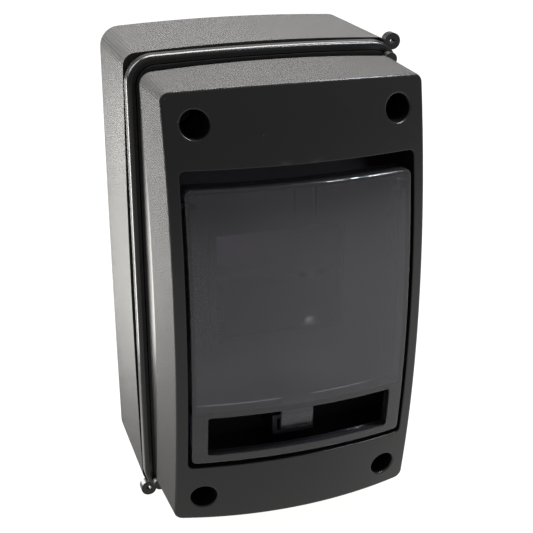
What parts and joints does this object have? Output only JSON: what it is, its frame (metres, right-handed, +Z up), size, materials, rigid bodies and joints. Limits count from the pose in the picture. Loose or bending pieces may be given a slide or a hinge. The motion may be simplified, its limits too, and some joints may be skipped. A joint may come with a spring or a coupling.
{
  "type": "surface-mounted fuse box enclosure",
  "caption": "Black upright wall enclosure for fuses and breakers, with a bulged front cover, sealed joint rim and a smoked flap door with a finger slot.",
  "frame": {"origin": "centre of the back face, on the wall plane", "axes": "+X to the right seen from the front, +Y into the wall so the front faces -Y, +Z up"},
  "size_m": [0.1164, 0.106, 0.2008],
  "materials": {
    "black_housing": "fine moulded texture on the sides, satin front, glossy joint rim",
    "smoked_window": "clear smoked, polished",
    "black_screw": "moulded",
    "seal_rubber": "matt",
    "steel": "zinc plated",
    "brass": "machined",
    "grey_support": "moulded",
    "blue_holder": "moulded",
    "green_holder": "moulded"
  },
  "bodies": {
    "base": {"rear_base": "black_housing", "joint_gasket": "seal_rubber", "boss_inserts": "brass", "din_rail": "steel", "rail_support_left": "grey_support", "rail_support_right": "grey_support", "support_screws": "steel", "rail_screws": "steel", "neutral_terminal_bar": "brass", "neutral_terminal_screws": "steel", "neutral_bar_holder": "blue_holder", "earth_terminal_bar": "brass", "earth_terminal_screws": "steel", "earth_bar_holder": "green_holder", "bar_holder_screws": "steel", "entry_plug_left": "seal_rubber", "entry_plug_right": "seal_rubber"},
    "cover": {"front_cover": "black_housing", "cover_screw_seals": "seal_rubber"},
    "door": {"door_window": "smoked_window", "hinge_pin_left": "steel", "hinge_pin_right": "steel"},
    "screw_top_left": {"cover_screw_top_left": "black_screw"},
    "screw_top_right": {"cover_screw_top_right": "black_screw"},
    "screw_bottom_left": {"cover_screw_bottom_left": "black_screw"},
    "screw_bottom_right": {"cover_screw_bottom_right": "black_screw"}
  },
  "joints": [
    {"name": "cover_lift_off", "type": "slide", "parent": "base", "child": "cover", "axis": [0, -1, 0], "range_m": [0, 0.09]},
    {"name": "door_swing", "type": "hinge", "parent": "cover", "child": "door", "pos_m": [0, -0.0935, 0.04841], "axis": [-1, 0, 0], "range_deg": [0, 100]},
    {"name": "turn_screw_top_left", "type": "hinge", "parent": "cover", "child": "screw_top_left", "pos_m": [-0.03986, -0.07, 0.07851], "axis": [0, -1, 0], "range_deg": [0, 90]},
    {"name": "turn_screw_top_right", "type": "hinge", "parent": "cover", "child": "screw_top_right", "pos_m": [0.03986, -0.07, 0.07851], "axis": [0, -1, 0], "range_deg": [0, 90]},
    {"name": "turn_screw_bottom_left", "type": "hinge", "parent": "cover", "child": "screw_bottom_left", "pos_m": [-0.03986, -0.07, -0.07851], "axis": [0, -1, 0], "range_deg": [0, 90]},
    {"name": "turn_screw_bottom_right", "type": "hinge", "parent": "cover", "child": "screw_bottom_right", "pos_m": [0.03986, -0.07, -0.07851], "axis": [0, -1, 0], "range_deg": [0, 90]}
  ]
}
